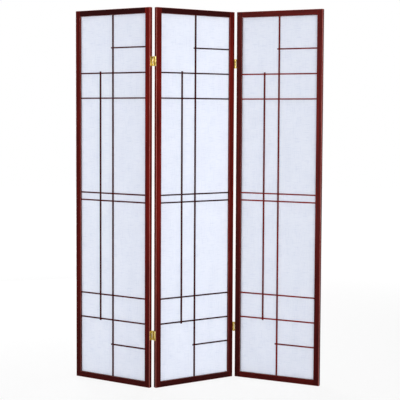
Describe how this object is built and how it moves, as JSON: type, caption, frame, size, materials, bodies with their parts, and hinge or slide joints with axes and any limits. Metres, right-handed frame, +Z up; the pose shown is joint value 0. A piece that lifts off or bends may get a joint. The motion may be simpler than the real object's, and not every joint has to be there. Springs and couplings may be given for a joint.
{
  "type": "folding screen",
  "caption": "Folding room divider of framed fabric panels with a thin wooden lattice, joined by two-way hinges that let each panel fold to either side.",
  "frame": {"origin": "on the floor, at the middle of the box that the standing screen fills", "axes": "+X along the screen from the left panel to the right one, +Y away from the viewer, +Z up along the panels"},
  "size_m": [1.1786, 0.2622, 1.7844],
  "materials": {
    "frame_wood": "dark red cherry stain under a semi-gloss clear coat, grain along each member",
    "lattice_wood": "the frame's stain, slightly darker on thin bars",
    "bead_wood": "the frame's stain, less gloss",
    "dowel_wood": "bare pale hardwood, hidden in the joints",
    "screen_fabric": "thin translucent white fabric with a fine slubby weave",
    "hinge_brass": "bright brass plate, rolled and pressed",
    "screw_brass": "brass plated countersunk wood screws"
  },
  "bodies": {
    "middle_panel": {"left_lower_hinge_right_leaf": "hinge_brass", "left_upper_hinge_right_leaf": "hinge_brass", "middle_panel_bottom_rail": "frame_wood", "middle_panel_centre_bar": "lattice_wood", "middle_panel_fabric": "screen_fabric", "middle_panel_frame_dowels": "dowel_wood", "middle_panel_hinge_screws": "screw_brass", "middle_panel_inner_cross_bars": "lattice_wood", "middle_panel_left_stile": "frame_wood", "middle_panel_middle_cross_bars": "lattice_wood", "middle_panel_outer_cross_bars": "lattice_wood", "middle_panel_retaining_beads": "bead_wood", "middle_panel_right_stile": "frame_wood", "middle_panel_short_cross_bars": "lattice_wood", "middle_panel_side_bar": "lattice_wood", "middle_panel_top_rail": "frame_wood", "right_lower_hinge_left_leaf": "hinge_brass", "right_upper_hinge_left_leaf": "hinge_brass"},
    "left_hinge_links": {"left_lower_hinge_link": "hinge_brass", "left_lower_hinge_pins": "hinge_brass", "left_upper_hinge_link": "hinge_brass", "left_upper_hinge_pins": "hinge_brass"},
    "left_panel": {"left_lower_hinge_left_leaf": "hinge_brass", "left_panel_bottom_rail": "frame_wood", "left_panel_centre_bar": "lattice_wood", "left_panel_fabric": "screen_fabric", "left_panel_frame_dowels": "dowel_wood", "left_panel_hinge_screws": "screw_brass", "left_panel_inner_cross_bars": "lattice_wood", "left_panel_left_stile": "frame_wood", "left_panel_middle_cross_bars": "lattice_wood", "left_panel_outer_cross_bars": "lattice_wood", "left_panel_retaining_beads": "bead_wood", "left_panel_right_stile": "frame_wood", "left_panel_short_cross_bars": "lattice_wood", "left_panel_side_bar": "lattice_wood", "left_panel_top_rail": "frame_wood", "left_upper_hinge_left_leaf": "hinge_brass"},
    "right_hinge_links": {"right_lower_hinge_link": "hinge_brass", "right_lower_hinge_pins": "hinge_brass", "right_upper_hinge_link": "hinge_brass", "right_upper_hinge_pins": "hinge_brass"},
    "right_panel": {"right_lower_hinge_right_leaf": "hinge_brass", "right_panel_bottom_rail": "frame_wood", "right_panel_centre_bar": "lattice_wood", "right_panel_fabric": "screen_fabric", "right_panel_frame_dowels": "dowel_wood", "right_panel_hinge_screws": "screw_brass", "right_panel_inner_cross_bars": "lattice_wood", "right_panel_left_stile": "frame_wood", "right_panel_middle_cross_bars": "lattice_wood", "right_panel_outer_cross_bars": "lattice_wood", "right_panel_retaining_beads": "bead_wood", "right_panel_right_stile": "frame_wood", "right_panel_short_cross_bars": "lattice_wood", "right_panel_side_bar": "lattice_wood", "right_panel_top_rail": "frame_wood", "right_upper_hinge_right_leaf": "hinge_brass"}
  },
  "joints": [
    {"name": "left_front_pin", "type": "hinge", "parent": "middle_panel", "child": "left_hinge_links", "pos_m": [-0.1967, -0.12751, 0.89218], "axis": [0, 0, 1], "range_deg": [0, 90]},
    {"name": "left_rear_pin", "type": "hinge", "parent": "left_hinge_links", "child": "left_panel", "pos_m": [-0.20732, -0.1105, 0.89218], "axis": [0, 0, -1], "range_deg": [-65, 115]},
    {"name": "right_rear_pin", "type": "hinge", "parent": "middle_panel", "child": "right_hinge_links", "pos_m": [0.17358, 0.12751, 0.89218], "axis": [0, 0, 1], "range_deg": [0, 90]},
    {"name": "right_front_pin", "type": "hinge", "parent": "right_hinge_links", "child": "right_panel", "pos_m": [0.1842, 0.1105, 0.89218], "axis": [0, 0, -1], "range_deg": [-58.5, 121.5]}
  ]
}
